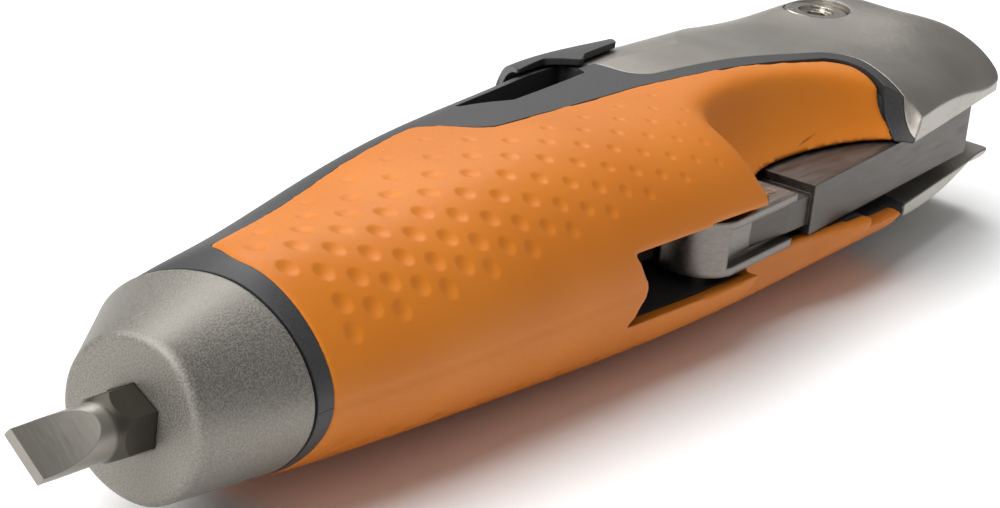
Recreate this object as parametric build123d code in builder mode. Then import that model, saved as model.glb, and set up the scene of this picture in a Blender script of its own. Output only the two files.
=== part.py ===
from build123d import *
import os
from math import cos, sin, pi, radians

# Utility knife with a bit driver in its tail, in millimetres.
# Origin: centre of the hex socket's mouth on the rear cap's end face.
# +X runs forward to the nose, +Y towards the spine, +Z towards the knife's right side.

os.makedirs("parts", exist_ok=True)

# ---- Driving dimensions: body ----
CAP_LENGTH = 14.8          # rear cap, along X
CAP_GAP = 0.5              # dark line between the cap and the frame
CAP_FACE_RADIUS = 8.5      # flat round end face of the cap
CAP_EDGE_RADIUS = 1.1      # rounding of that face's rim
NOSE_X = 171.5             # furthest point of the nose
NOSE_LEAN = 1.0            # how far the nose's belly corner stands back
NOSE_BELLY_Y = 0.4         # flat belly of the nose at its front corner
NOSE_BELLY_START = 137.5   # and where that flat starts
NOSE_BELLY_START_Y = -5.4
NOSE_SPINE_Y = 26.5         # spine corner of the nose
NOSE_SPINE_START = 150.0   # from here the spine falls straight to that corner
NOSE_SPINE_START_Y = 32.5
SPINE_CORNER_RADIUS = 7.0
BELLY_CORNER_RADIUS = 1.2
MIDDLE_SHARE = 0.45        # height of the widest line in each section
SECTION_POINTS = 24

# Body sections: X, belly Y, spine Y, half width, power above and power below the middle.
# A power of 2 is an ellipse, and a higher one is a squarer slab.
TAIL_SECTION = (CAP_LENGTH + CAP_GAP, -10.3, 18.2, 10.25, 1.85, 1.85)
BODY_SECTIONS = [
    TAIL_SECTION,
    (30.0, -10.6, 20.8, 11.6, 1.9, 1.85),
    (50.0, -10.5, 23.2, 12.4, 2.9, 1.95),
    (70.0, -10.1, 25.9, 13.2, 3.5, 2.05),
    (90.0, -9.8, 28.6, 12.7, 4.2, 2.3),
    (110.0, -9.0, 30.5, 12.5, 5.5, 2.2),
    (130.0, -8.0, 31.6, 11.5, 6.0, 2.25),
    (150.0, -5.6, 31.8, 10.0, 6.0, 2.5),
    (174.0, -1.8, 28.0, 8.6, 6.2, 2.6),
]

# ---- Driving dimensions: grips, thumb scoop and belly ----
GRIP_SKIN = 1.6            # rubber thickness over the frame
SCOOP_SKIN = 0.9           # and in the scoop
SCOOP_AXIS_Y = -6.9        # the scoop is a barrel beside the belly, lying along X
SCOOP_RINGS = [            # its rings: X, how far out the axis is, radius
    (98.5, 13.5, 7.0),
    (104.0, 15.3, 12.0),
    (120.0, 15.3, 14.1),
    (131.0, 14.2, 12.4),
    (138.0, 11.0, 7.6),
    (140.5, 9.6, 3.0),
]
RELIEF_START = 98.5        # the belly edges step up beside the folded opener
RELIEF_Y = -6.2
RELIEF_END = 134.0

# ---- Driving dimensions: blade and its channel ----
BLADE_LENGTH = 61.0
BLADE_HEIGHT = 19.0
BLADE_THICKNESS = 0.65
BLADE_SPINE_LENGTH = 33.0
BLADE_NOTCH_OFFSET = 8.5   # from the blade's middle to each notch
BLADE_EDGE_Y = 2.2         # cutting edge
BLADE_BACK_X = 100.0       # rear corner of the edge, blade drawn in
BLADE_TRAVEL_OUT = 30.0
BLADE_TRAVEL_BACK = 12.0
BLADE_SLIT_GAP = 0.35      # each side of the blade, in the nose
CARRIAGE_HALF_WIDTH = 3.9
CARRIAGE_START = 85.0
CARRIAGE_END = 124.5
CARRIAGE_BELLY = 3.9
CARRIAGE_SPINE = 22.4
SLIDE_GAP = 0.35           # sliding clearance round the carriage, the stem and the saddle

# ---- Driving dimensions: thumb slider ----
SADDLE_START = 93.5
SADDLE_END = 118.0
SADDLE_WIDE = 12.6         # half width inside the saddle
SADDLE_ROOF_Y = 30.8
SADDLE_INSIDE = (-9.2, SADDLE_ROOF_Y, SADDLE_WIDE, 4.6, 2.2)
SADDLE_WALL = 0.8
SADDLE_HUMP = 2.0          # roof thickness
WING_LOW_Y = 21.2          # lowest point of the wings
STEM_HALF_WIDTH = 2.2
STEM_START = 101.0
STEM_END = 112.0
STEM_KEY = 0.9             # how far the stem stands into the saddle's roof

# ---- Driving dimensions: bit driver ----
HEX_ACROSS_FLATS = 6.35
HEX_GAP = 0.06             # each side, bit in socket
BIT_LENGTH = 50.0
BIT_PROUD = 14.5           # bit standing out of the cap
BIT_HEX_PROUD = 4.8        # hex part of that
BIT_SHANK_RADIUS = 2.9
BIT_TIP_THICKNESS = 1.1
BIT_TIP_TURN = 38.0        # degrees from Y towards Z
SPIGOT_RADIUS = 7.5
FLANGE_RADIUS = 8.1
FLANGE_START = 24.0
FLANGE_WIDTH = 3.0
MAGNET_RADIUS = 3.0
MAGNET_LENGTH = 3.0

# ---- Driving dimensions: folding opener ----
PIVOT_X = 93.0
PIVOT_Y = -3.4
PIN_RADIUS = 1.5
PIN_GAP = 0.05             # running clearance of the pin in the knuckle
KNUCKLE_RADIUS = 4.9
KNUCKLE_HALF_WIDTH = 3.3
KNUCKLE_END = 108.0
ARM_HALF_WIDTH = 3.1
ARM_NECK_HALF_WIDTH = 1.9
ARM_BLOCK_START = 113.0
ARM_END = 161.0
ARM_TOP_Y = 1.5
ARM_ROOT_BELLY_Y = -7.0
ARM_TIP_BELLY_Y = -0.9
OPENER_GAP = 0.35          # each side of the arm in its slot
NAIL_GAP_Z = -4.7          # left wall of the wider slot in the nose
NAIL_GAP_START = 124.0
NAIL_GAP_MOUTH_Y = 6.0     # its roof in front of the nose
RIVET_PLACES = [(PIVOT_X + 9.0, -1.2), (PIVOT_X + 12.4, -4.2)]
RIVET_RADIUS = 0.9
WINDOW_START = 70.5
WINDOW_NOTCH = 2.6         # how far the window's rear edge points forward
WINDOW_END = 99.0
WINDOW_HALF_WIDTH = 4.4

# ---- Driving dimensions: fasteners ----
BOLSTER_SCREW_X = 160.0
BOLSTER_SCREW_Y = 23.3
SCREW_SEAT_Z = 8.9
SCREW_HEAD_RADIUS = 4.3
SCREW_HEAD_HEIGHT = 1.1
SCREW_SHAFT_RADIUS = 1.5
SCREW_HEX_ACROSS_FLATS = 2.5
NUT_HEAD_RADIUS = 3.4
SHELL_SCREW_PLACES = [(36.0, 16.4), (57.0, 20.6)]
SHELL_SCREW_RADIUS = 1.2
SHELL_SCREW_HEAD_RADIUS = 2.4
SHELL_SCREW_SEAT_Z = 7.0

FAR = 60.0                 # reach of a cutter that has to pass right through

CHANNEL_HALF_WIDTH = CARRIAGE_HALF_WIDTH + SLIDE_GAP
BLADE_MID_Y = BLADE_EDGE_Y + BLADE_HEIGHT / 2
BLADE_SPINE_Y = BLADE_EDGE_Y + BLADE_HEIGHT
BLADE_MID_X = BLADE_BACK_X + BLADE_LENGTH / 2
BLADE_FRONT_X = BLADE_BACK_X + BLADE_LENGTH
BIT_END = BIT_LENGTH - BIT_PROUD


# ---- Body outline shared by the grips, the frame halves and the bolsters ----
def section_plane(x):
    """A plane across the knife whose own x is +Y and own y is +Z."""
    return Plane(origin=(x, 0, 0), x_dir=(0, 1, 0), z_dir=(1, 0, 0))


def section_points(belly, spine, half_width, spine_power, belly_power, grow=0.0):
    """Points round one body section, pushed out by grow."""
    low = belly - grow
    high = spine + grow
    wide = half_width + grow
    middle = low + MIDDLE_SHARE * (high - low)
    points = []
    for step in range(SECTION_POINTS):
        turn = 2 * pi * (step + 0.5) / SECTION_POINTS
        across, side = cos(turn), sin(turn)
        power = spine_power if across > 0 else belly_power
        reach = high - middle if across > 0 else middle - low
        scale = (abs(across) ** power + abs(side) ** power) ** (-1 / power)
        points.append((middle + reach * across * scale, wide * side * scale))
    return points


def section_face(x, *shape):
    """One body section as a sketch at x. Even parameters keep lofts between sections light."""
    even = [step / SECTION_POINTS for step in range(SECTION_POINTS + 1)]
    with BuildSketch(section_plane(x)) as face:
        with BuildLine():
            add(Edge.make_spline(section_points(*shape), periodic=True, parameters=even))
        make_face()
    return face.sketch


def scoop_cutter(grow):
    """A barrel that hollows the right flank where the thumb reaches the opener."""
    with BuildPart() as barrel:
        for x, axis_z, radius in SCOOP_RINGS:
            with BuildSketch(section_plane(x)):
                with Locations((SCOOP_AXIS_Y, axis_z)):
                    Circle(radius + grow)
        loft()
    return barrel.part


def relief_cutter(grow):
    """What the belly edges lose beside the opener, seen from the side."""
    with BuildPart() as relief:
        with BuildSketch(Plane.XY):
            with BuildLine():
                FilletPolyline(
                    (RELIEF_START - grow, -FAR),
                    (RELIEF_START - grow, RELIEF_Y + grow),
                    (RELIEF_START + 16, RELIEF_Y + grow),
                    (RELIEF_END, RELIEF_Y - 2.2 + grow),
                    (RELIEF_END, -FAR),
                    radius=2.0,
                    close=True,
                )
            make_face()
        extrude(amount=FAR, both=True)
    return relief.part


def knife_block(grow, scoop_grow):
    """The whole body as one block, pushed out by grow, with the scoop and the belly relief cut."""
    with BuildPart() as block:
        loft([section_face(*shape, grow) for shape in BODY_SECTIONS])
        with BuildSketch(Plane.XY):
            with BuildLine():
                FilletPolyline(
                    (0, -FAR),
                    (NOSE_BELLY_START - 4.0, -FAR),
                    (NOSE_BELLY_START - 4.0, NOSE_BELLY_START_Y - 2.6 - grow),
                    (NOSE_BELLY_START, NOSE_BELLY_START_Y - grow),
                    (NOSE_X - NOSE_LEAN + grow, NOSE_BELLY_Y - grow),
                    (NOSE_X + grow, NOSE_SPINE_Y + grow),
                    (NOSE_SPINE_START, NOSE_SPINE_START_Y + grow),
                    (NOSE_SPINE_START, FAR),
                    (0, FAR),
                    radius=[0.1, 0.1, 1.5, 2.0, BELLY_CORNER_RADIUS, SPINE_CORNER_RADIUS,
                            0.1, 0.1, 0.1],
                    close=True,
                )
            make_face()
        extrude(amount=FAR, both=True, mode=Mode.INTERSECT)
        add(scoop_cutter(-scoop_grow), mode=Mode.SUBTRACT)
        add(relief_cutter(-grow), mode=Mode.SUBTRACT)
    return block.part


def side_prism(points, radii):
    """A prism across the whole knife whose side view is the rounded outline."""
    with BuildPart() as prism:
        with BuildSketch(Plane.XY):
            with BuildLine():
                FilletPolyline(*points, radius=radii, close=True)
            make_face()
        extrude(amount=FAR, both=True)
    return prism.part


outer_block = knife_block(0.0, 0.0)
core_block = knife_block(-GRIP_SKIN, -SCOOP_SKIN)

grip_outline = side_prism(
    [
        (17.9, -FAR), (17.9, 4.0), (20.8, 9.4), (50.0, 16.2), (64.6, 18.2), (69.6, 11.2),
        (100.0, 12.1), (142.6, 8.6), (135.6, -5.6), (132.5, -FAR),
    ],
    [0.1, 6.0, 2.0, 30.0, 2.0, 5.0, 40.0, 3.6, 3.0, 0.1],
)
bolster_outline = side_prism(
    [
        (104.2, FAR), (104.2, 14.2), (125.0, 13.0), (145.4, 10.6), (138.6, -4.6),
        (134.6, -FAR), (200.0, -FAR), (200.0, FAR),
    ],
    [0.1, 3.4, 40.0, 3.8, 3.0, 0.1, 0.1, 0.1],
)

# The rubber fills what the core leaves free inside the grip's outline.
with BuildPart() as grip_space:
    add(grip_outline)
    add(core_block, mode=Mode.SUBTRACT)

# ---- Hollows cut through several pieces ----
with BuildPart() as carriage_channel:
    with BuildSketch(Plane.XY):
        with BuildLine():
            Polyline(
                (CARRIAGE_START - BLADE_TRAVEL_BACK - 1.0, CARRIAGE_BELLY - SLIDE_GAP),
                (CARRIAGE_END + BLADE_TRAVEL_OUT + 1.0, CARRIAGE_BELLY - SLIDE_GAP),
                (CARRIAGE_END + BLADE_TRAVEL_OUT + 1.0, CARRIAGE_SPINE + SLIDE_GAP),
                (CARRIAGE_START - BLADE_TRAVEL_BACK - 1.0, CARRIAGE_SPINE + SLIDE_GAP),
                close=True,
            )
        make_face()
    extrude(amount=CHANNEL_HALF_WIDTH, both=True)

with BuildPart() as blade_slit:
    slit_start = BLADE_BACK_X - BLADE_TRAVEL_BACK - 1.0
    slit_end = NOSE_X + 5.0
    with BuildSketch(Plane.XY):
        with Locations(((slit_start + slit_end) / 2, BLADE_MID_Y)):
            Rectangle(slit_end - slit_start, BLADE_HEIGHT + 2 * SLIDE_GAP)
    extrude(amount=BLADE_THICKNESS / 2 + BLADE_SLIT_GAP, both=True)

with BuildPart() as stem_slot:
    with BuildSketch(Plane.XZ.offset(-CARRIAGE_SPINE)):
        with Locations(((STEM_START + STEM_END + BLADE_TRAVEL_OUT - BLADE_TRAVEL_BACK) / 2, 0)):
            Rectangle(
                STEM_END - STEM_START + BLADE_TRAVEL_OUT + BLADE_TRAVEL_BACK + 2.0,
                2 * (STEM_HALF_WIDTH + SLIDE_GAP),
            )
    extrude(amount=-20.0)

with BuildPart() as belly_window:
    with BuildSketch(Plane.XZ):
        with BuildLine():
            Polyline(
                (WINDOW_START, -WINDOW_HALF_WIDTH),
                (WINDOW_START + WINDOW_NOTCH, 0),
                (WINDOW_START, WINDOW_HALF_WIDTH),
                (WINDOW_END, WINDOW_HALF_WIDTH),
                (WINDOW_END, -WINDOW_HALF_WIDTH),
                close=True,
            )
        make_face()
    extrude(amount=FAR)
    with BuildSketch(Plane.XZ):
        with Locations(((PIVOT_X - KNUCKLE_RADIUS - 5.0 + WINDOW_END) / 2, 0)):
            Rectangle(WINDOW_END - PIVOT_X + KNUCKLE_RADIUS + 5.0, 2 * WINDOW_HALF_WIDTH)
    extrude(amount=-(PIVOT_Y + KNUCKLE_RADIUS + 0.6))

with BuildPart() as arm_slot:
    with BuildSketch(Plane.XY):
        with BuildLine():
            Polyline(
                (WINDOW_END - 1.0, -FAR),
                (WINDOW_END - 1.0, ARM_TOP_Y + OPENER_GAP),
                (ARM_END + 0.8, ARM_TOP_Y + OPENER_GAP),
                (ARM_END + 0.8, -FAR),
                close=True,
            )
        make_face()
    extrude(amount=ARM_HALF_WIDTH + OPENER_GAP, both=True)

# In the nose the slot is wider on the left, for a fingernail, and opens to the front.
with BuildPart() as nail_gap:
    with BuildSketch(Plane.XY.offset(NAIL_GAP_Z)):
        with BuildLine():
            Polyline(
                (NAIL_GAP_START, -FAR),
                (NAIL_GAP_START + 3.0, ARM_TOP_Y + OPENER_GAP),
                (ARM_END + 1.0, ARM_TOP_Y + OPENER_GAP),
                (NOSE_X + 5.0, NAIL_GAP_MOUTH_Y),
                (NOSE_X + 5.0, -FAR),
                close=True,
            )
        make_face()
    extrude(amount=ARM_HALF_WIDTH + OPENER_GAP - NAIL_GAP_Z)

# What the saddle sweeps as it slides: the body is trimmed to the saddle's inside there.
with BuildPart() as slider_track:
    with BuildSketch(Plane.XY):
        with BuildLine():
            Polyline(
                (SADDLE_START - BLADE_TRAVEL_BACK - 1.0, WING_LOW_Y - SLIDE_GAP),
                (SADDLE_END + BLADE_TRAVEL_OUT + 1.0, WING_LOW_Y - SLIDE_GAP),
                (SADDLE_END + BLADE_TRAVEL_OUT + 1.0, FAR),
                (SADDLE_START - BLADE_TRAVEL_BACK - 1.0, FAR),
                close=True,
            )
        make_face()
    extrude(amount=FAR, both=True)
    extrude(
        section_face(SADDLE_START - BLADE_TRAVEL_BACK - 2.0, *SADDLE_INSIDE, -SLIDE_GAP),
        amount=SADDLE_END - SADDLE_START + BLADE_TRAVEL_OUT + BLADE_TRAVEL_BACK + 4.0,
        mode=Mode.SUBTRACT,
    )

with BuildPart() as shoulder_recess:
    with BuildSketch(Plane.XY.offset(8.6)):
        with BuildLine():
            FilletPolyline(
                (74.7, 20.5), (82.4, 17.0), (99.8, 19.2), (103.0, 24.6), (94.0, 23.8),
                radius=0.6, close=True,
            )
        make_face()
    extrude(amount=FAR)
    mirror(about=Plane.XY)

with BuildPart() as cap_bore:
    with BuildSketch(section_plane(0)):
        Circle(SPIGOT_RADIUS)
    extrude(amount=BIT_END + MAGNET_LENGTH + 2.0)
    with BuildSketch(section_plane(FLANGE_START)):
        Circle(FLANGE_RADIUS)
    extrude(amount=FLANGE_WIDTH)

with BuildPart() as pin_bore:
    with BuildSketch(Plane.XY):
        with Locations((PIVOT_X, PIVOT_Y)):
            Circle(PIN_RADIUS)
    extrude(amount=WINDOW_HALF_WIDTH + 2.5, both=True)

with BuildPart() as shell_screw_holes:
    with BuildSketch(Plane.XY):
        with Locations(*SHELL_SCREW_PLACES):
            Circle(SHELL_SCREW_RADIUS)
    extrude(amount=SHELL_SCREW_SEAT_Z, both=True)
    with BuildSketch(Plane.XY.offset(-SHELL_SCREW_SEAT_Z)):
        with Locations(*SHELL_SCREW_PLACES):
            Circle(SHELL_SCREW_HEAD_RADIUS)
    extrude(amount=-FAR)

with BuildPart() as bolster_screw_hole:
    with BuildSketch(Plane.XY.offset(-SCREW_SEAT_Z)):
        with Locations((BOLSTER_SCREW_X, BOLSTER_SCREW_Y)):
            Circle(SCREW_SHAFT_RADIUS + 0.9)
    extrude(amount=SCREW_SEAT_Z)
    with BuildSketch(Plane.XY):
        with Locations((BOLSTER_SCREW_X, BOLSTER_SCREW_Y)):
            Circle(SCREW_SHAFT_RADIUS)
    extrude(amount=SCREW_SEAT_Z)
    with BuildSketch(Plane.XY.offset(SCREW_SEAT_Z)):
        with Locations((BOLSTER_SCREW_X, BOLSTER_SCREW_Y)):
            Circle(SCREW_HEAD_RADIUS + 0.15)
    extrude(amount=FAR)
    with BuildSketch(Plane.XY.offset(-SCREW_SEAT_Z)):
        with Locations((BOLSTER_SCREW_X, BOLSTER_SCREW_Y)):
            Circle(NUT_HEAD_RADIUS)
    extrude(amount=-FAR)

# ---- Grips: rubber moulded over the frame, one for each side ----
with BuildPart() as grip_pair:
    add(outer_block)
    add(grip_space.part, mode=Mode.INTERSECT)
    for hollow in (belly_window, arm_slot, nail_gap):
        add(hollow.part, mode=Mode.SUBTRACT)

# ---- Frame halves: dark moulded shells ----
with BuildPart() as frame_pair:
    add(outer_block)
    add(grip_space.part, mode=Mode.SUBTRACT)
    add(bolster_outline, mode=Mode.SUBTRACT)
    for hollow in (carriage_channel, blade_slit, stem_slot, belly_window, arm_slot, nail_gap,
                   slider_track, shoulder_recess, cap_bore, pin_bore, shell_screw_holes):
        add(hollow.part, mode=Mode.SUBTRACT)

# ---- Bolsters: die-cast nose halves ----
with BuildPart() as bolster_pair:
    add(outer_block)
    add(bolster_outline, mode=Mode.INTERSECT)
    for hollow in (carriage_channel, blade_slit, stem_slot, arm_slot, nail_gap, slider_track,
                   bolster_screw_hole):
        add(hollow.part, mode=Mode.SUBTRACT)


def half(pair, keep):
    """One side of a pair that meets on the middle plane."""
    with BuildPart() as side:
        add(pair.part)
        split(bisect_by=Plane.XY, keep=keep)
    return side


def save(piece, name):
    """Label a finished piece and write its file."""
    piece.part.label = name
    export_step(piece.part, f"parts/{name}.step")


save(half(grip_pair, Keep.TOP), "right_grip")
save(half(grip_pair, Keep.BOTTOM), "left_grip")
save(half(frame_pair, Keep.TOP), "right_shell")
save(half(frame_pair, Keep.BOTTOM), "left_shell")
save(half(bolster_pair, Keep.TOP), "right_bolster")
save(half(bolster_pair, Keep.BOTTOM), "left_bolster")

# ---- Rear cap: die-cast cone with the hex socket, its spigot clamped by the frame ----
with BuildPart() as rear_cap:
    loft([
        section_face(0, -CAP_FACE_RADIUS, CAP_FACE_RADIUS, CAP_FACE_RADIUS, 2.0, 2.0),
        section_face(CAP_LENGTH, *TAIL_SECTION[1:]),
    ])
    fillet(rear_cap.edges().group_by(Axis.X)[0], CAP_EDGE_RADIUS)
    with BuildSketch(section_plane(CAP_LENGTH)):
        Circle(SPIGOT_RADIUS)
    extrude(amount=BIT_END + MAGNET_LENGTH + 1.0 - CAP_LENGTH)
    with BuildSketch(section_plane(FLANGE_START)):
        Circle(FLANGE_RADIUS)
    extrude(amount=FLANGE_WIDTH)
    with BuildSketch(section_plane(0)):
        RegularPolygon(HEX_ACROSS_FLATS / 2 + HEX_GAP, 6, major_radius=False, rotation=30)
    extrude(amount=BIT_END + 0.3, mode=Mode.SUBTRACT)
    with BuildSketch(section_plane(BIT_END + 0.3)):
        Circle(MAGNET_RADIUS)
    extrude(amount=MAGNET_LENGTH + 1.0, mode=Mode.SUBTRACT)
save(rear_cap, "rear_cap")

# ---- Magnet at the bottom of the socket ----
with BuildPart() as bit_magnet:
    with BuildSketch(section_plane(BIT_END + 0.3)):
        Circle(MAGNET_RADIUS)
    extrude(amount=MAGNET_LENGTH)
    chamfer(bit_magnet.edges().group_by(Axis.X)[0], 0.2)
save(bit_magnet, "bit_magnet")

# ---- Screwdriver bit: slotted tip outside, cross tip inside ----
with BuildPart() as screwdriver_bit:
    with BuildSketch(section_plane(-BIT_HEX_PROUD)):
        RegularPolygon(HEX_ACROSS_FLATS / 2, 6, major_radius=False, rotation=30)
    extrude(amount=BIT_HEX_PROUD + BIT_END - 10.0)
    with BuildSketch(section_plane(-BIT_PROUD)):
        Circle(BIT_SHANK_RADIUS)
    extrude(amount=BIT_LENGTH)
    # Both hex ends are turned down to a cone, which leaves scalloped flats.
    with BuildSketch(Plane.XY):
        with BuildLine():
            Polyline(
                (-BIT_PROUD, 0),
                (-BIT_PROUD, BIT_SHANK_RADIUS),
                (-BIT_HEX_PROUD, BIT_SHANK_RADIUS),
                (-BIT_HEX_PROUD + 1.3, HEX_ACROSS_FLATS / 2 / cos(radians(30)) + 0.01),
                (BIT_END - 11.3, HEX_ACROSS_FLATS / 2 / cos(radians(30)) + 0.01),
                (BIT_END - 10.0, BIT_SHANK_RADIUS),
                (BIT_END - 5.0, BIT_SHANK_RADIUS),
                (BIT_END, 0.9),
                (BIT_END, 0),
                close=True,
            )
        make_face()
    revolve(axis=Axis.X, mode=Mode.INTERSECT)
    # The slotted tip is ground flat on two sides.
    tip_plane = Plane(
        origin=(-BIT_PROUD, 0, 0),
        x_dir=(1, 0, 0),
        z_dir=(0, cos(radians(BIT_TIP_TURN)), sin(radians(BIT_TIP_TURN))),
    )
    with BuildSketch(tip_plane):
        with BuildLine():
            lower = Line((-0.1, BIT_TIP_THICKNESS / 2), (0.5, BIT_TIP_THICKNESS / 2))
            grind = ThreePointArc(lower @ 1, (4.6, 1.25), (8.4, 3.4))
            Polyline(grind @ 1, (8.4, 6.0), (-0.1, 6.0), lower @ 0)
        make_face()
        mirror(about=Plane.XZ)
    extrude(amount=FAR, both=True, mode=Mode.SUBTRACT)
    # The cross tip has four flutes.
    for quarter in range(4):
        flute = Plane(
            origin=(BIT_END, 0, 0),
            x_dir=(0, cos(radians(45 + 90 * quarter)), sin(radians(45 + 90 * quarter))),
            z_dir=(1, 0, 0),
        )
        with BuildSketch(flute):
            with Locations((0.75, 0)):
                Polygon((0, 0), (4, 2.6), (4, -2.6), align=None)
        extrude(amount=-4.6, mode=Mode.SUBTRACT)
save(screwdriver_bit, "screwdriver_bit")

# ---- Blade: a trapezoid with two notches in its back ----
with BuildPart() as blade:
    slant = (BLADE_LENGTH - BLADE_SPINE_LENGTH) / 2
    with BuildSketch(Plane.XY):
        with BuildLine():
            Polyline(
                (BLADE_BACK_X, BLADE_EDGE_Y),
                (BLADE_FRONT_X, BLADE_EDGE_Y),
                (BLADE_FRONT_X - slant, BLADE_SPINE_Y),
                (BLADE_BACK_X + slant, BLADE_SPINE_Y),
                close=True,
            )
        make_face()
        with Locations((BLADE_MID_X - BLADE_NOTCH_OFFSET, BLADE_SPINE_Y),
                       (BLADE_MID_X + BLADE_NOTCH_OFFSET, BLADE_SPINE_Y)):
            Rectangle(2.4, 4.4, mode=Mode.SUBTRACT)
    extrude(amount=BLADE_THICKNESS / 2, both=True)
    chamfer(
        blade.edges().filter_by(Axis.X).group_by(Axis.Y)[0],
        length=BLADE_THICKNESS / 2 - 0.05, length2=2.0,
        reference=blade.faces().sort_by(Axis.Y)[0],
    )
save(blade, "blade")

# ---- Blade carriage: slides in the frame and holds the blade in a pocket ----
with BuildPart() as blade_carriage:
    with BuildSketch(Plane.XY):
        with BuildLine():
            Polyline(
                (CARRIAGE_START, CARRIAGE_BELLY),
                (CARRIAGE_END, CARRIAGE_BELLY),
                (CARRIAGE_END, CARRIAGE_SPINE),
                (CARRIAGE_START, CARRIAGE_SPINE),
                close=True,
            )
        make_face()
    extrude(amount=CARRIAGE_HALF_WIDTH, both=True)
    fillet(blade_carriage.edges().filter_by(Axis.Z).group_by(Axis.X)[0], 1.5)
    # Stem that carries the thumb slider through the slot in the spine.
    with BuildSketch(Plane.XZ.offset(-CARRIAGE_SPINE)):
        with Locations(((STEM_START + STEM_END) / 2, 0)):
            Rectangle(STEM_END - STEM_START, 2 * STEM_HALF_WIDTH)
    extrude(amount=-(SADDLE_ROOF_Y + STEM_KEY - CARRIAGE_SPINE))
    # Blade pocket, open on the right and at the front.
    with BuildSketch(Plane.XY.offset(-BLADE_THICKNESS / 2)):
        with BuildLine():
            Polyline(
                (BLADE_BACK_X - 0.6, CARRIAGE_BELLY - 1.0),
                (BLADE_BACK_X - 0.6, BLADE_EDGE_Y + 4.0),
                (BLADE_BACK_X + slant - 4.0, BLADE_SPINE_Y - 1.5),
                (BLADE_BACK_X + slant - 1.0, BLADE_SPINE_Y + 0.2),
                (CARRIAGE_END + 1.0, BLADE_SPINE_Y + 0.2),
                (CARRIAGE_END + 1.0, CARRIAGE_BELLY - 1.0),
                close=True,
            )
        make_face()
    extrude(amount=CARRIAGE_HALF_WIDTH * 2, mode=Mode.SUBTRACT)
    # Lug that fills the blade's rear notch.
    with BuildSketch(Plane.XY.offset(-BLADE_THICKNESS / 2)):
        with Locations((BLADE_MID_X - BLADE_NOTCH_OFFSET, BLADE_SPINE_Y - 0.9)):
            Rectangle(2.1, 2.4)
    extrude(amount=BLADE_THICKNESS)
    # Seat of the leaf spring on the rear end's back.
    with BuildSketch(Plane.XY):
        with Locations((CARRIAGE_START + 6.0, CARRIAGE_SPINE)):
            Rectangle(9.0, 2.0)
    extrude(amount=1.6, both=True, mode=Mode.SUBTRACT)
save(blade_carriage, "blade_carriage")

# ---- Blade clip: spring-steel leaf that presses the blade into its pocket ----
with BuildPart() as blade_clip:
    with BuildSketch(Plane.XY.offset(BLADE_THICKNESS / 2)):
        with BuildLine():
            FilletPolyline(
                (104.0, 6.0), (122.5, 6.0), (122.5, 14.0), (117.0, 17.5), (111.0, 17.5),
                radius=1.0, close=True,
            )
        make_face()
    extrude(amount=0.5)
    with BuildSketch(Plane.XY.offset(BLADE_THICKNESS / 2)):
        with Locations((110.0, 10.0), (118.0, 10.0)):
            Circle(1.4)
    extrude(amount=3.0)
save(blade_clip, "blade_clip")

# ---- Carriage leaf spring: its bump gives the slider its stops ----
with BuildPart() as carriage_spring:
    with BuildSketch(Plane.XY):
        with BuildLine():
            under = Line((CARRIAGE_START + 1.7, CARRIAGE_SPINE - 1.0),
                         (CARRIAGE_START + 10.3, CARRIAGE_SPINE - 1.0))
            Polyline(
                under @ 1,
                (CARRIAGE_START + 10.3, CARRIAGE_SPINE - 0.6),
                (CARRIAGE_START + 7.6, CARRIAGE_SPINE - 0.6),
                (CARRIAGE_START + 6.0, CARRIAGE_SPINE - 0.05),
                (CARRIAGE_START + 4.4, CARRIAGE_SPINE - 0.6),
                (CARRIAGE_START + 1.7, CARRIAGE_SPINE - 0.6),
                under @ 0,
            )
        make_face()
    extrude(amount=1.5, both=True)
save(carriage_spring, "carriage_spring")

# ---- Thumb slider: a saddle over the spine, with a wing down each shoulder ----
with BuildPart() as thumb_slider:
    loft([
        section_face(SADDLE_START, *SADDLE_INSIDE, 0.35),
        section_face(SADDLE_START + 4.0, -10.0, SADDLE_ROOF_Y + 1.2, SADDLE_WIDE + 0.6, 4.5, 2.2),
        section_face(SADDLE_START + 10.0, -10.5, SADDLE_ROOF_Y + SADDLE_HUMP,
                     SADDLE_WIDE + SADDLE_WALL, 4.2, 2.2),
        section_face(SADDLE_END, -10.2, SADDLE_ROOF_Y + SADDLE_HUMP - 0.8,
                     SADDLE_WIDE + SADDLE_WALL - 0.2, 4.4, 2.2),
    ])
    with BuildSketch(Plane.XY):
        with BuildLine():
            FilletPolyline(
                (SADDLE_START + 0.2, 24.6), (99.8, 25.2), (102.0, WING_LOW_Y), (104.6, 22.7),
                (113.6, 24.2), (SADDLE_END - 0.2, 28.0), (SADDLE_END - 0.2, FAR),
                (SADDLE_START + 7.0, FAR), (SADDLE_START + 7.0, SADDLE_ROOF_Y + 1.0),
                radius=[0.3, 0.4, 0.4, 1.5, 1.5, 1.5, 0.3, 0.3, 2.0],
                close=True,
            )
        make_face()
    extrude(amount=FAR, both=True, mode=Mode.INTERSECT)
    extrude(
        section_face(SADDLE_START - 1.0, *SADDLE_INSIDE),
        amount=SADDLE_END - SADDLE_START + 2.0,
        mode=Mode.SUBTRACT,
    )
    # Pocket for the top of the carriage's stem.
    with BuildSketch(Plane.XZ.offset(-SADDLE_ROOF_Y + 1.0)):
        with Locations(((STEM_START + STEM_END) / 2, 0)):
            Rectangle(STEM_END - STEM_START, 2 * STEM_HALF_WIDTH)
    extrude(amount=-(1.0 + STEM_KEY), mode=Mode.SUBTRACT)
    # Grooves across the top for the thumb.
    with BuildSketch(Plane.XY):
        with GridLocations(2.6, 1, 4, 1):
            with Locations((107.0, SADDLE_ROOF_Y + SADDLE_HUMP + 0.4)):
                Circle(0.8)
    extrude(amount=7.0, both=True, mode=Mode.SUBTRACT)
save(thumb_slider, "thumb_slider")

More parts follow.
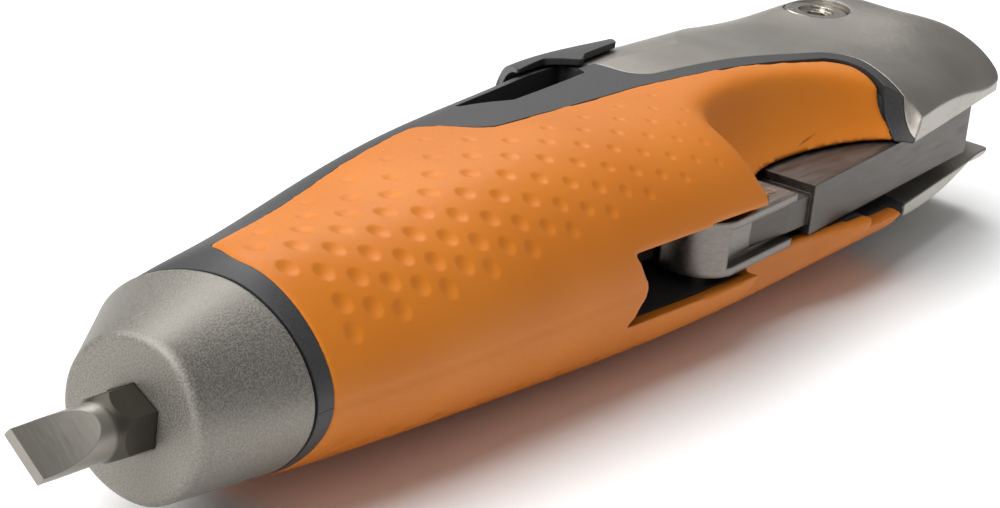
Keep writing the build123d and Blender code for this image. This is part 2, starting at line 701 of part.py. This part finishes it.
# ---- Opener: bright knuckle on the pin, dark arm riveted to it ----
with BuildPart() as opener_knuckle:
    with BuildSketch(Plane.XY):
        with Locations((PIVOT_X, PIVOT_Y)):
            Circle(KNUCKLE_RADIUS)
        with BuildLine():
            Polyline(
                (PIVOT_X, PIVOT_Y + KNUCKLE_RADIUS),
                (KNUCKLE_END, ARM_TOP_Y),
                (KNUCKLE_END, ARM_ROOT_BELLY_Y),
                (PIVOT_X, PIVOT_Y - KNUCKLE_RADIUS),
                close=True,
            )
        make_face()
        with Locations((PIVOT_X, PIVOT_Y)):
            Circle(PIN_RADIUS + PIN_GAP, mode=Mode.SUBTRACT)
    extrude(amount=KNUCKLE_HALF_WIDTH, both=True)
    # Trough along the back leaves a rail on each side.
    with BuildSketch(Plane.XY):
        with BuildLine():
            Polyline(
                (PIVOT_X - 1.0, -FAR),
                (PIVOT_X - 1.0, PIVOT_Y - KNUCKLE_RADIUS + 1.2),
                (KNUCKLE_END + 1.0, ARM_ROOT_BELLY_Y + 1.6),
                (KNUCKLE_END + 1.0, -FAR),
                close=True,
            )
        make_face()
    extrude(amount=KNUCKLE_HALF_WIDTH - 1.0, both=True, mode=Mode.SUBTRACT)
    # Slot that takes the arm's tang.
    with BuildSketch(Plane.XY):
        with BuildLine():
            Polyline(
                (PIVOT_X + 6.5, -FAR), (PIVOT_X + 6.5, FAR),
                (KNUCKLE_END + 1.0, FAR), (KNUCKLE_END + 1.0, -FAR),
                close=True,
            )
        make_face()
    extrude(amount=ARM_NECK_HALF_WIDTH, both=True, mode=Mode.SUBTRACT)
    with BuildSketch(Plane.XY):
        with Locations(*RIVET_PLACES):
            Circle(RIVET_RADIUS)
    extrude(amount=KNUCKLE_HALF_WIDTH, both=True, mode=Mode.SUBTRACT)
save(opener_knuckle, "opener_knuckle")

with BuildPart() as opener_arm:
    tang_start = PIVOT_X + 6.5
    belly_slope = (ARM_TIP_BELLY_Y - ARM_ROOT_BELLY_Y) / (ARM_END - KNUCKLE_END)
    block_belly = ARM_ROOT_BELLY_Y + belly_slope * (ARM_BLOCK_START - KNUCKLE_END)
    with BuildSketch(Plane.XY):
        with BuildLine():
            Polyline(
                (tang_start, ARM_TOP_Y),
                (ARM_BLOCK_START + 2.0, ARM_TOP_Y),
                (ARM_BLOCK_START + 2.0, block_belly + 0.6),
                (KNUCKLE_END, ARM_ROOT_BELLY_Y + 0.8),
                (tang_start, ARM_ROOT_BELLY_Y + 0.8),
                close=True,
            )
        make_face()
    extrude(amount=ARM_NECK_HALF_WIDTH, both=True)
    with BuildSketch(Plane.XY):
        with BuildLine():
            Polyline(
                (ARM_BLOCK_START, ARM_TOP_Y),
                (ARM_END, ARM_TOP_Y),
                (ARM_END, ARM_TIP_BELLY_Y),
                (ARM_BLOCK_START, block_belly),
                close=True,
            )
        make_face()
    extrude(amount=ARM_HALF_WIDTH, both=True)
    chamfer(opener_arm.edges().filter_by(Axis.Z).sort_by(Axis.X)[-1], 0.8)
    with BuildSketch(Plane.XY):
        with Locations(*RIVET_PLACES):
            Circle(RIVET_RADIUS)
    extrude(amount=ARM_HALF_WIDTH, both=True, mode=Mode.SUBTRACT)
save(opener_arm, "opener_arm")

with BuildPart() as opener_rivets:
    with BuildSketch(Plane.XY):
        with Locations(*RIVET_PLACES):
            Circle(RIVET_RADIUS)
    extrude(amount=KNUCKLE_HALF_WIDTH, both=True)
save(opener_rivets, "opener_rivets")

with BuildPart() as opener_pin:
    with BuildSketch(Plane.XY):
        with Locations((PIVOT_X, PIVOT_Y)):
            Circle(PIN_RADIUS)
    extrude(amount=WINDOW_HALF_WIDTH + 2.5, both=True)
    chamfer(opener_pin.edges(), 0.2)
save(opener_pin, "opener_pin")

# ---- Opener spring: a leaf under the window's ceiling that keeps the knuckle in place ----
KNUCKLE_HOUSE_START = PIVOT_X - KNUCKLE_RADIUS - 5.0   # where the window's ceiling steps up
with BuildPart() as opener_spring:
    with BuildSketch(Plane.XY):
        with BuildLine():
            Polyline(
                (KNUCKLE_HOUSE_START - 6.0, 0),
                (KNUCKLE_HOUSE_START, 0),
                (PIVOT_X - 4.2, PIVOT_Y + 3.4),
                (PIVOT_X - 4.6, PIVOT_Y + 2.9),
                (KNUCKLE_HOUSE_START - 0.2, -0.5),
                (KNUCKLE_HOUSE_START - 6.0, -0.5),
                close=True,
            )
        make_face()
    extrude(amount=2.6, both=True)
save(opener_spring, "opener_spring")

# ---- Fasteners ----
with BuildPart() as bolster_screw:
    with BuildSketch(Plane.XY.offset(SCREW_SEAT_Z)):
        with Locations((BOLSTER_SCREW_X, BOLSTER_SCREW_Y)):
            Circle(SCREW_HEAD_RADIUS)
    extrude(amount=SCREW_HEAD_HEIGHT)
    fillet(bolster_screw.edges().group_by(Axis.Z)[-1], 0.5)
    with BuildSketch(Plane.XY.offset(SCREW_SEAT_Z + SCREW_HEAD_HEIGHT)):
        with Locations((BOLSTER_SCREW_X, BOLSTER_SCREW_Y)):
            Circle(SCREW_HEAD_RADIUS - 1.9)
    extrude(amount=-0.5, mode=Mode.SUBTRACT)
    with BuildSketch(Plane.XY.offset(-5.0)):
        with Locations((BOLSTER_SCREW_X, BOLSTER_SCREW_Y)):
            Circle(SCREW_SHAFT_RADIUS)
    extrude(amount=SCREW_SEAT_Z + 5.0)
    with BuildSketch(Plane.XY.offset(SCREW_SEAT_Z + SCREW_HEAD_HEIGHT)):
        with Locations((BOLSTER_SCREW_X, BOLSTER_SCREW_Y)):
            RegularPolygon(SCREW_HEX_ACROSS_FLATS / 2, 6, major_radius=False)
    extrude(amount=-1.8, mode=Mode.SUBTRACT)
save(bolster_screw, "bolster_screw")

with BuildPart() as barrel_nut:
    with BuildSketch(Plane.XY.offset(-SCREW_SEAT_Z)):
        with Locations((BOLSTER_SCREW_X, BOLSTER_SCREW_Y)):
            Circle(SCREW_SHAFT_RADIUS + 0.9)
    extrude(amount=SCREW_SEAT_Z - 1.0)
    with BuildSketch(Plane.XY.offset(-SCREW_SEAT_Z)):
        with Locations((BOLSTER_SCREW_X, BOLSTER_SCREW_Y)):
            Circle(NUT_HEAD_RADIUS - 0.2)
    extrude(amount=-0.9)
    with BuildSketch(Plane.XY):
        with Locations((BOLSTER_SCREW_X, BOLSTER_SCREW_Y)):
            Circle(SCREW_SHAFT_RADIUS)
    extrude(amount=-6.0, mode=Mode.SUBTRACT)
save(barrel_nut, "barrel_nut")

with BuildPart() as shell_screws:
    with BuildSketch(Plane.XY.offset(-SHELL_SCREW_SEAT_Z)):
        with Locations(*SHELL_SCREW_PLACES):
            Circle(SHELL_SCREW_RADIUS)
    extrude(amount=SHELL_SCREW_SEAT_Z + 6.0)
    with BuildSketch(Plane.XY.offset(-SHELL_SCREW_SEAT_Z)):
        with Locations(*SHELL_SCREW_PLACES):
            Circle(SHELL_SCREW_HEAD_RADIUS - 0.1)
    extrude(amount=-1.5)
save(shell_screws, "shell_screws")
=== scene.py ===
"""Utility knife with a folding opener in its belly and a bit driver in its tail.

The CAD frame gives every piece its size and place, in metres: +X to the nose, +Y to the
spine, +Z to the right side, which faces up, because the knife lies on its left side.
"""

import math

import bmesh
import bpy
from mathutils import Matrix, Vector, kdtree
from mathutils.bvhtree import BVHTree


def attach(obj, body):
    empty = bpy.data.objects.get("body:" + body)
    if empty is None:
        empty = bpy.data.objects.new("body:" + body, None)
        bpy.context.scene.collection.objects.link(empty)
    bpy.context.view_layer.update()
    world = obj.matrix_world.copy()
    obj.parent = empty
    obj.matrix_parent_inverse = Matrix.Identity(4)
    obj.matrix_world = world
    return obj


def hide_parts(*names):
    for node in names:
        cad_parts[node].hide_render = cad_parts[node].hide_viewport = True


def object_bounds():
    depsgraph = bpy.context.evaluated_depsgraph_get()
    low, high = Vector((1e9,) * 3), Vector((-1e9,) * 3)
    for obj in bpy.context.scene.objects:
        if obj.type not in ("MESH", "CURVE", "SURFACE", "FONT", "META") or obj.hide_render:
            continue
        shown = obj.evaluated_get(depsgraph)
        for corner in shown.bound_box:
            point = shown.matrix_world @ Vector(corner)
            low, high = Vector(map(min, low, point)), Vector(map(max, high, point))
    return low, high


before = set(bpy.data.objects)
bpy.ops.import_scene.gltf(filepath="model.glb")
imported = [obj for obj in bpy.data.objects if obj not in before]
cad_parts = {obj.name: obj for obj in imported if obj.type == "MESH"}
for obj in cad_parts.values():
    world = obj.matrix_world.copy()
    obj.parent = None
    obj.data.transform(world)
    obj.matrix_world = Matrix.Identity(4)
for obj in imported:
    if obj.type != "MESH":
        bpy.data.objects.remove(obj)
cad_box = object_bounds()
bpy.ops.object.select_all(action="DESELECT")

# ---------------------------------------------------------------------------
# Camera: low behind the cap and a little above the knife's right side, with a
# long lens. Its place and turn are in the frame's own axes.
# ---------------------------------------------------------------------------
bpy.ops.object.camera_add(
    location=(-0.23545, -0.19820, 0.12528),
    rotation=(math.radians(71.005), math.radians(-6.516), math.radians(-53.743)),
)
camera = bpy.context.object
camera.name = "three_quarter_camera"
camera.data.sensor_width = 36.0
camera.data.lens = 126.545
camera.data.clip_start = 0.02
camera.data.dof.use_dof = False
bpy.context.scene.camera = camera
camera.select_set(False)
bpy.context.scene.view_settings.view_transform = "Standard"

# ---------------------------------------------------------------------------
# Studio: a matt white sweep under the knife's lowest point, one very broad soft
# light from above and the spine, and smaller ones for the cap and the nose.
# ---------------------------------------------------------------------------


def linear(hex_colour):
    """An sRGB hex colour as the linear numbers that the shaders use."""
    channels = []
    for start in (0, 2, 4):
        value = int(hex_colour[start:start + 2], 16) / 255
        channels.append(value / 12.92 if value <= 0.04045 else ((value + 0.055) / 1.055) ** 2.4)
    return (*channels, 1.0)


def node(material, kind, links=None, **settings):
    """Add one node. Settings fill its sockets or properties, and links join its sockets."""
    made = material.node_tree.nodes.new(kind)
    for key, value in settings.items():
        name = key.replace("_", " ")
        if name in made.inputs:
            made.inputs[name].default_value = value
        else:
            setattr(made, key, value)
    for socket, source in (links or {}).items():
        material.node_tree.links.new(source, made.inputs[socket.replace("_", " ")])
    return made


def new_material(name, hex_colour, roughness, metallic=0.0, specular=0.5):
    """A material and its shader, which starts from one colour and finish."""
    material = bpy.data.materials.new(name)
    material.use_nodes = True
    material.node_tree.nodes.clear()
    shader = node(
        material, "ShaderNodeBsdfPrincipled",
        Base_Color=linear(hex_colour), Roughness=roughness, Metallic=metallic,
        Specular_IOR_Level=specular,
    )
    node(material, "ShaderNodeOutputMaterial", {"Surface": shader.outputs["BSDF"]})
    return material, shader


FLOOR_GAP = 0.0002
bpy.ops.mesh.primitive_plane_add(size=12.0, location=(0.1, 0.0, cad_box[0][2] - FLOOR_GAP))
floor = bpy.context.object
floor.name = "studio_floor"
white_paper, paper_shader = new_material("matt_white_paper", "FFFFFF", 0.9, specular=0.05)
floor.data.materials.append(white_paper)
floor.select_set(False)

WORLD_STRENGTH = 0.26
world = bpy.data.worlds.new("studio_room")
bpy.context.scene.world = world
world.use_nodes = True
world.node_tree.nodes["Background"].inputs["Color"].default_value = linear("FFFFFF")
world.node_tree.nodes["Background"].inputs["Strength"].default_value = WORLD_STRENGTH


def aim(place, target):
    """The turn that points a lamp from place to target."""
    return (Vector(target) - Vector(place)).to_track_quat("-Z", "Y").to_euler()


bpy.ops.object.light_add(type="SUN", rotation=aim((-0.25, 0.45, 1.0), (0, 0, 0)))
sky_panel = bpy.context.object
sky_panel.name = "overhead_panel"
sky_panel.data.energy = 2.8
sky_panel.data.angle = math.radians(75)
sky_panel.select_set(False)
SOFTBOXES = [
    # name, place, aimed at, size, power
    ("tail_softbox", (-0.50, 0.10, 0.35), (0.02, 0.0, 0.0), 0.30, 1.6),
    ("nose_strip", (0.45, 0.35, 0.45), (0.14, 0.01, 0.0), 0.30, 1.2),
]
for name, place, target, size, power in SOFTBOXES:
    bpy.ops.object.light_add(type="AREA", location=place, rotation=aim(place, target))
    softbox = bpy.context.object
    softbox.name = name
    softbox.data.size = size
    softbox.data.energy = power
    softbox.select_set(False)

# ---------------------------------------------------------------------------
# Frame halves: dark grey glass-filled nylon, injection moulded against a finely
# spark-eroded mould, which leaves a satin skin with a faint grain.
# ---------------------------------------------------------------------------
PER_MM = 1000.0


def grain_in_mm(material, size_mm, detail=2.0, stretch=(1, 1, 1)):
    """A noise whose lumps are about size_mm across, in the piece's own coordinates."""
    place = node(material, "ShaderNodeTexCoord")
    scale = [PER_MM / size_mm * part for part in stretch]
    mapped = node(material, "ShaderNodeMapping", {"Vector": place.outputs["Object"]}, Scale=scale)
    return node(material, "ShaderNodeTexNoise", {"Vector": mapped.outputs["Vector"]},
                Scale=1.0, Detail=detail)


def bumped(material, shader, height, depth_mm, edge_mm):
    """Raise a bump of depth_mm over edges that are eased by edge_mm."""
    eased = node(material, "ShaderNodeBevel", Radius=edge_mm / PER_MM)
    bump = node(material, "ShaderNodeBump",
                {"Height": height.outputs["Fac"], "Normal": eased.outputs["Normal"]},
                Strength=1.0, Distance=depth_mm / PER_MM)
    material.node_tree.links.new(bump.outputs["Normal"], shader.inputs["Normal"])


def varied(material, shader, noise, dark_hex, light_hex, low=0.35, high=0.65):
    """Let a noise move the colour between two hex colours."""
    spread = node(material, "ShaderNodeMapRange", {"Value": noise.outputs["Fac"]},
                  From_Min=low, From_Max=high)
    mixed = node(material, "ShaderNodeMix", {"Factor": spread.outputs["Result"]}, data_type="RGBA")
    mixed.inputs[6].default_value = linear(dark_hex)
    mixed.inputs[7].default_value = linear(light_hex)
    material.node_tree.links.new(mixed.outputs[2], shader.inputs["Base Color"])
    return mixed


def roughened(material, shader, noise, smooth, rough):
    """Let a noise move the roughness between two values."""
    spread = node(material, "ShaderNodeMapRange", {"Value": noise.outputs["Fac"]},
                  From_Min=0.3, From_Max=0.7, To_Min=smooth, To_Max=rough)
    material.node_tree.links.new(spread.outputs["Result"], shader.inputs["Roughness"])


def dress(material, *names):
    """Give CAD nodes a material in place of their plain one."""
    for name in names:
        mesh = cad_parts[name].data
        mesh.materials.clear()
        mesh.materials.append(material)


nylon, nylon_shader = new_material("moulded_glass_filled_nylon", "323234", 0.5, specular=0.45)
nylon_grain = grain_in_mm(nylon, 0.25)
varied(nylon, nylon_shader, nylon_grain, "2C2C2E", "383839")
roughened(nylon, nylon_shader, nylon_grain, 0.42, 0.58)
bumped(nylon, nylon_shader, nylon_grain, depth_mm=0.012, edge_mm=0.25)
dress(nylon, "right_shell", "left_shell", "thumb_slider", "blade_carriage")

# ---------------------------------------------------------------------------
# Grip: orange thermoplastic rubber moulded round the frame, so both CAD halves become
# one skin, remeshed evenly and laid back on the CAD surface, a little proud of the
# frame. The scoop's rim is softened, and rows of dimples are pressed in.
# ---------------------------------------------------------------------------
GRIP_VOXEL = 0.00040
GRIP_MERGE = 0.00002
GRIP_OVERLAP = 0.00015     # how far each half reaches over the middle before they join
GRIP_REACH = 0.0006        # how far the even skin may lie from the CAD surface
GRIP_PROUD = 0.00010
GRIP_KEPT = 0.55           # share of the faces left once the hidden inside is thinned
DIMPLE_RADIUS = 0.00135
DIMPLE_DEPTH = 0.00030
DIMPLE_MARGIN = 0.00030     # how far the finer mesh reaches round each dimple
DIMPLE_CUTS = 2                # and how many times each edge there is cut
DIMPLE_COLUMN = (7.7, 2.1)     # from one dimple to the next along the handle: mm, degrees
DIMPLE_ROW = (3.5, -11.3)      # and to the next one down the flank
DIMPLE_FIRST = (36.9, -0.3)
DIMPLE_CROWD = 0.5             # degrees that the rows draw together, by their number squared
DIMPLE_FIELD_X = (20.5, 100.0)     # where the dimples start and end: mm
DIMPLE_FIELD_TURN = (-75, 45)      # and degrees round the flank
DIMPLE_FULL_X = 44             # mm, the last full-size dimple along the handle
DIMPLE_FADE_X = 70             # mm over which they fade out beyond it
DIMPLE_FADE_TURN = 60          # degrees over which they fade towards the spine
DIMPLE_LEAST = 0.25            # smallest share of the full size
DIMPLE_FACING = 0.4            # how nearly a point faces as its dimple does
PROBES = ((-1.9, 0), (1.9, 0), (0, -8), (0, 8))    # beside each dimple: mm, degrees
PROBE_DROP = 0.0013            # a larger drop there means an edge, so no dimple
GRIP_AXIS_Y = 0.005
RAY_START = 0.04
INSIDE_FACING = -0.5       # points that face the handle's axis more than this are inside
RIM_ROUNDS = 110
SKIN_ROUNDS = 3


def outside_hit(tree, x, turn, side):
    """Where a ray towards the handle's axis meets the grip, or None."""
    outward = Vector((0, math.sin(turn), side * math.cos(turn)))
    start = Vector((x, GRIP_AXIS_Y, 0)) + outward * RAY_START
    place, normal, _, distance = tree.ray_cast(start, -outward, RAY_START)
    return (place, normal, distance) if place is not None else None


def joined_skin(node_names, new_name):
    """Both CAD halves as one even skin, laid back on their own surface."""
    for name, side in node_names:
        half = bpy.data.objects.new(new_name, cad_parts[name].data.copy())
        bpy.context.collection.objects.link(half)
        bpy.context.view_layer.objects.active = half
        half.select_set(True)
        for vertex in half.data.vertices:
            if abs(vertex.co.z) < GRIP_MERGE:
                vertex.co.z = -side * GRIP_OVERLAP
    bpy.ops.object.join()
    skin = bpy.context.object
    bpy.ops.object.mode_set(mode="EDIT")
    bpy.ops.mesh.select_all(action="SELECT")
    bpy.ops.mesh.remove_doubles(threshold=GRIP_MERGE)
    bpy.ops.object.mode_set(mode="OBJECT")
    cad = bmesh.new()
    cad.from_mesh(skin.data)
    surface = BVHTree.FromBMesh(cad)
    remesh = skin.modifiers.new("even_skin", "REMESH")
    remesh.mode = "VOXEL"
    remesh.voxel_size = GRIP_VOXEL
    bpy.ops.object.modifier_apply(modifier=remesh.name)
    for vertex in skin.data.vertices:
        place, normal, *_ = surface.find_nearest(vertex.co, GRIP_REACH)
        if place is not None and abs(vertex.co.z) > 2 * GRIP_OVERLAP:
            vertex.co = place + normal * GRIP_PROUD
    cad.free()
    return skin


def relax(piece, group, rounds):
    """Smooth a piece, or one vertex group of it, and apply that."""
    smooth = piece.modifiers.new("relax", "SMOOTH")
    smooth.factor = 0.5
    smooth.iterations = rounds
    if group:
        smooth.vertex_group = group.name
    bpy.ops.object.modifier_apply(modifier=smooth.name)


def dimple_places(shape, side):
    """Each dimple's centre, outward normal and share of the full size, on one side."""
    tree = BVHTree.FromBMesh(shape)
    places = []
    for row in range(-5, 8):
        for column in range(-6, 12):
            x_mm = DIMPLE_FIRST[0] + DIMPLE_ROW[0] * row + DIMPLE_COLUMN[0] * column
            degrees = DIMPLE_FIRST[1] + DIMPLE_ROW[1] * row + DIMPLE_COLUMN[1] * column
            degrees += DIMPLE_CROWD * row ** 2
            first_x, last_x = DIMPLE_FIELD_X
            lowest, highest = DIMPLE_FIELD_TURN
            if not first_x < x_mm < last_x or not lowest < degrees < highest:
                continue
            fade = min(1.0, 1 - (x_mm - DIMPLE_FULL_X) / DIMPLE_FADE_X)
            fade *= min(1.0, 1.1 - degrees / DIMPLE_FADE_TURN)
            x = x_mm / PER_MM
            turn = math.radians(degrees)
            hit = outside_hit(tree, x, turn, side)
            if hit is None:
                continue
            around = [outside_hit(tree, x + shift / PER_MM, turn + math.radians(lean), side)
                      for shift, lean in PROBES]
            if all(near is not None and abs(near[2] - hit[2]) < PROBE_DROP for near in around):
                places.append((hit[0], hit[1], max(DIMPLE_LEAST, fade)))
    return places


def press_dimples(mesh):
    """Make the mesh finer where the dimples go, and press them in."""
    shape = bmesh.new()
    shape.from_mesh(mesh)
    shape.normal_update()
    places = dimple_places(shape, 1) + dimple_places(shape, -1)
    for press in (False, True):
        finder = kdtree.KDTree(len(shape.verts))
        for vertex in shape.verts:
            finder.insert(vertex.co, vertex.index)
        finder.balance()
        shape.verts.ensure_lookup_table()
        moves = {}
        for centre, normal, fade in places:
            radius = DIMPLE_RADIUS * (0.3 + 0.7 * fade)
            reach = radius if press else radius + DIMPLE_MARGIN
            for _, index, distance in finder.find_range(centre, reach):
                if shape.verts[index].normal.dot(normal) > DIMPLE_FACING:
                    pit = DIMPLE_DEPTH * fade * max(0, 1 - (distance / radius) ** 2) ** 1.5
                    moves[index] = moves.get(index, Vector()) - normal * pit
        if press:
            for index, move in moves.items():
                shape.verts[index].co += move
        else:
            edges = [edge for edge in shape.edges
                     if all(end.index in moves for end in edge.verts)]
            bmesh.ops.subdivide_edges(shape, edges=edges, cuts=DIMPLE_CUTS, use_grid_fill=True)
            shape.verts.index_update()
            shape.normal_update()
    shape.to_mesh(mesh)
    shape.free()


def thin_inside(piece, share):
    """Collapse faces on the hidden inside, which faces the handle's axis."""
    inside = piece.vertex_groups.new(name="inside")
    for vertex in piece.data.vertices:
        outward = Vector((0, vertex.co.y - GRIP_AXIS_Y, vertex.co.z)).normalized()
        if vertex.normal.dot(outward) < INSIDE_FACING:
            inside.add([vertex.index], 1.0, "REPLACE")
    thin = piece.modifiers.new("thin_inside", "DECIMATE")
    thin.ratio = share
    thin.vertex_group = inside.name
    bpy.ops.object.modifier_apply(modifier=thin.name)
    piece.vertex_groups.clear()


rubber, rubber_shader = new_material("overmoulded_rubber", "CC7418", 0.5, specular=0.3)
rubber_grain = grain_in_mm(rubber, 0.35)
rubber_cloud = grain_in_mm(rubber, 14.0, detail=1.0)
varied(rubber, rubber_shader, rubber_cloud, "C97116", "D0781B", low=0.3, high=0.7)
roughened(rubber, rubber_shader, rubber_grain, 0.45, 0.6)
bumped(rubber, rubber_shader, rubber_grain, depth_mm=0.008, edge_mm=0.15)

grip = joined_skin((("right_grip", 1), ("left_grip", -1)), "grip_rubber_moulding")
rim = grip.vertex_groups.new(name="scoop_rim")
for vertex in grip.data.vertices:
    x, y, z = vertex.co * PER_MM
    weight = min(1, max(0, (x - 93) / 4)) * min(1, max(0, (145 - x) / 5))
    weight *= min(1, max(0, (10.2 - y) / 2.5)) * min(1, max(0, (z - 5.0) / 2.5))
    if weight > 0:
        rim.add([vertex.index], weight, "REPLACE")
relax(grip, rim, RIM_ROUNDS)
grip.vertex_groups.clear()
relax(grip, None, SKIN_ROUNDS)
thin_inside(grip, GRIP_KEPT)
press_dimples(grip.data)
bpy.ops.object.shade_smooth()
grip.data.materials.clear()
grip.data.materials.append(rubber)
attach(grip, "frame")
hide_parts("right_grip", "left_grip")
grip.select_set(False)

# ---------------------------------------------------------------------------
# Bolsters: two zinc die-castings, tumbled and satin plated. The skin is smooth
# with a broad soft gloss and eased edges.
# ---------------------------------------------------------------------------
satin_zinc, satin_shader = new_material("satin_plated_die_cast_zinc", "A19C94", 0.36, metallic=0.9)
satin_grain = grain_in_mm(satin_zinc, 0.5, detail=3.0)
satin_cloud = grain_in_mm(satin_zinc, 9.0, detail=2.0)
varied(satin_zinc, satin_shader, satin_cloud, "9A958D", "A8A39B", low=0.3, high=0.7)
roughened(satin_zinc, satin_shader, satin_grain, 0.33, 0.42)
bumped(satin_zinc, satin_shader, satin_grain, depth_mm=0.004, edge_mm=0.45)
dress(satin_zinc, "right_bolster", "left_bolster")

# ---------------------------------------------------------------------------
# Rear cap: a turned zinc casting, bead-blasted. Each bead leaves a tiny bright
# crater, drawn at 0.2 mm because the real ones are too fine to show.
# ---------------------------------------------------------------------------
blasted, blasted_shader = new_material("bead_blasted_zinc", "8C887E", 0.5, metallic=0.75)
beads = grain_in_mm(blasted, 0.20, detail=1.0)
varied(blasted, blasted_shader, beads, "7C7971", "97938B", low=0.36, high=0.64)
roughened(blasted, blasted_shader, beads, 0.42, 0.62)
bumped(blasted, blasted_shader, beads, depth_mm=0.022, edge_mm=0.35)
dress(blasted, "rear_cap")

# ---------------------------------------------------------------------------
# Screwdriver bit: hardened tool steel, with a bare satin turned shank and ground tip.
# The hexagon, towards the cap, is painted darker: partly its dark oxide, partly painted shade
# where it sits in the cap's shadow.
# ---------------------------------------------------------------------------
bit_steel, bit_shader = new_material("shaded_oxide_and_ground_tool_steel", "8E8A80", 0.42, metallic=0.8)
bit_place = node(bit_steel, "ShaderNodeTexCoord")
bit_axes = node(bit_steel, "ShaderNodeSeparateXYZ", {"Vector": bit_place.outputs["Object"]})
# painted shade with oxide: the colour darkens from the tip towards the cap, over the hexagon that
# sits in the cap's shadow
hex_shade_and_oxide = node(bit_steel, "ShaderNodeMapRange", {"Value": bit_axes.outputs["X"]},
             From_Min=-0.0056, From_Max=-0.0046, interpolation_type="SMOOTHSTEP")
bit_colour = node(bit_steel, "ShaderNodeMix", {"Factor": hex_shade_and_oxide.outputs["Result"]},
                  data_type="RGBA")
bit_colour.inputs[6].default_value = linear("96928A")
bit_colour.inputs[7].default_value = linear("4A473F")
bit_steel.node_tree.links.new(bit_colour.outputs[2], bit_shader.inputs["Base Color"])
turning = grain_in_mm(bit_steel, 1.0, stretch=(6, 0.4, 0.4))
roughened(bit_steel, bit_shader, turning, 0.34, 0.5)
bumped(bit_steel, bit_shader, turning, depth_mm=0.006, edge_mm=0.15)
dress(bit_steel, "screwdriver_bit")

# ---------------------------------------------------------------------------
# Opener: a bright ground knuckle on the hinge pin, and the arm riveted into it,
# which is blackened and then polished along its outer faces.
# ---------------------------------------------------------------------------
ground, ground_shader = new_material("ground_steel", "86807A", 0.34, metallic=0.95)
ground_lines = grain_in_mm(ground, 0.6, stretch=(0.15, 1, 1.6))
varied(ground, ground_shader, ground_lines, "756F69", "857F79")
roughened(ground, ground_shader, ground_lines, 0.28, 0.45)
bumped(ground, ground_shader, ground_lines, depth_mm=0.008, edge_mm=0.5)
dress(ground, "opener_knuckle", "blade", "blade_clip")

blackened, blackened_shader = new_material("blackened_steel", "544E4A", 0.42, metallic=0.8)
arm_lines = grain_in_mm(blackened, 0.7, stretch=(0.12, 1, 1))
varied(blackened, blackened_shader, arm_lines, "4A4541", "5C5650")
roughened(blackened, blackened_shader, arm_lines, 0.34, 0.5)
bumped(blackened, blackened_shader, arm_lines, depth_mm=0.006, edge_mm=0.3)
dress(blackened, "opener_arm")

# ---------------------------------------------------------------------------
# Fasteners and springs: nickel-plated steel, bright, with faint drawing marks.
# ---------------------------------------------------------------------------
nickel, nickel_shader = new_material("nickel_plated_steel", "CFC9C0", 0.2, metallic=1.0)
nickel_marks = grain_in_mm(nickel, 0.5)
roughened(nickel, nickel_shader, nickel_marks, 0.16, 0.28)
bumped(nickel, nickel_shader, nickel_marks, depth_mm=0.003, edge_mm=0.2)
dress(nickel, "bolster_screw", "barrel_nut", "bit_magnet", "carriage_spring", "opener_rivets",
      "opener_pin", "opener_spring")

oxide_black, oxide_shader = new_material("black_oxide_steel", "2E2D2C", 0.45, metallic=0.6)
oxide_marks = grain_in_mm(oxide_black, 0.4)
roughened(oxide_black, oxide_shader, oxide_marks, 0.38, 0.52)
bumped(oxide_black, oxide_shader, oxide_marks, depth_mm=0.004, edge_mm=0.15)
dress(oxide_black, "shell_screws")
